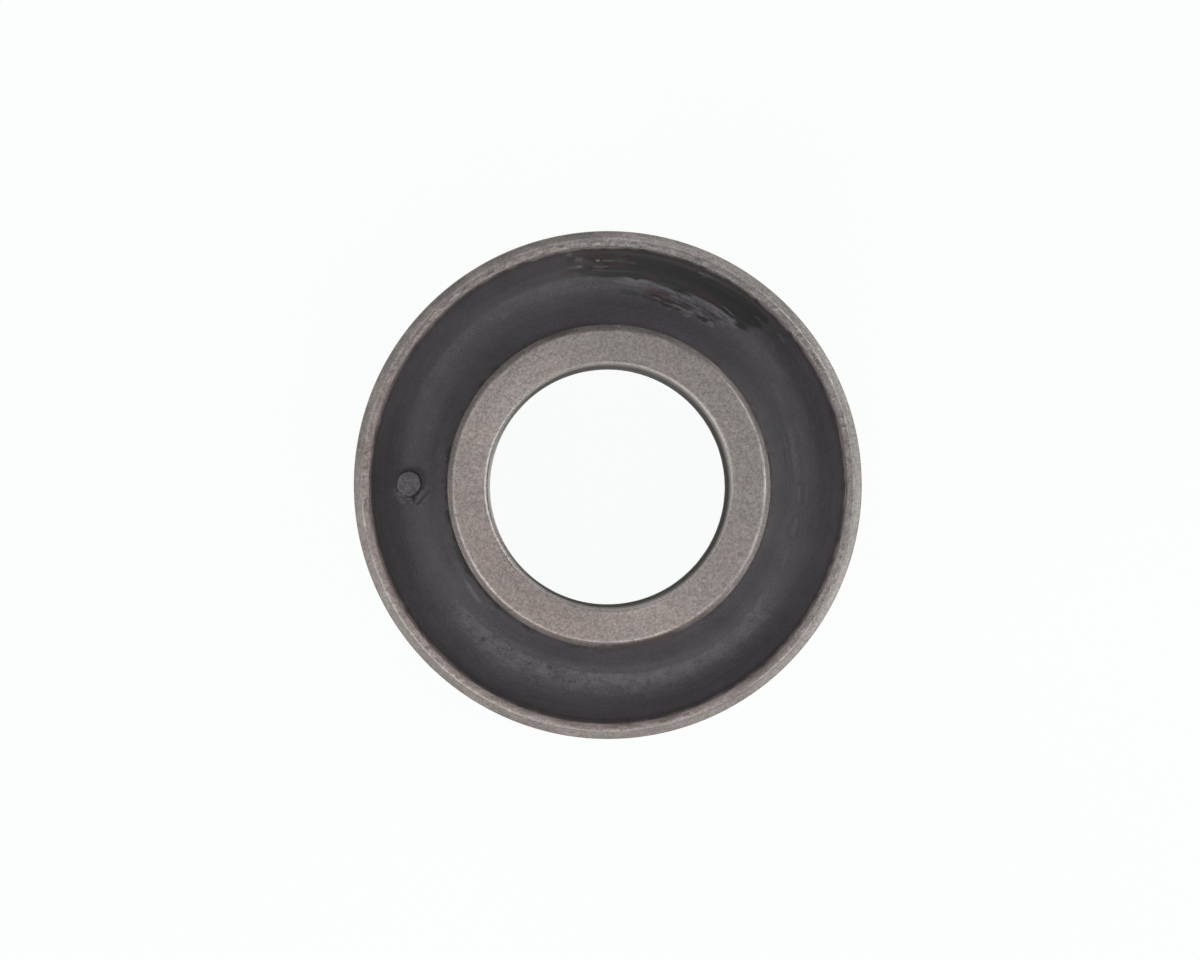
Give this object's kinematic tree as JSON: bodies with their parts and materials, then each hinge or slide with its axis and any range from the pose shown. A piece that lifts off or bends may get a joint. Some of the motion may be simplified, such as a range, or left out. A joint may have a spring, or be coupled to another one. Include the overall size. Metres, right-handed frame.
{
  "type": "rubber metal bush",
  "caption": "Bonded bush: a thick steel inner sleeve and a thin steel outer sleeve joined by moulded rubber with a rounded groove at each end.",
  "frame": {"origin": "centre of the bore, at the middle of its length", "axes": "+Z along the bore, towards the end with the gate stub; the gate stub lies towards -X"},
  "size_m": [0.063, 0.063, 0.07],
  "materials": {
    "sleeve_steel": "bare turned steel, phosphated grey, satin with a fine grain",
    "rubber": "moulded black natural rubber, dull satin"
  },
  "bodies": {
    "root": {"outer_sleeve": "sleeve_steel", "rubber_body": "rubber", "inner_sleeve": "sleeve_steel"}
  },
  "joints": []
}
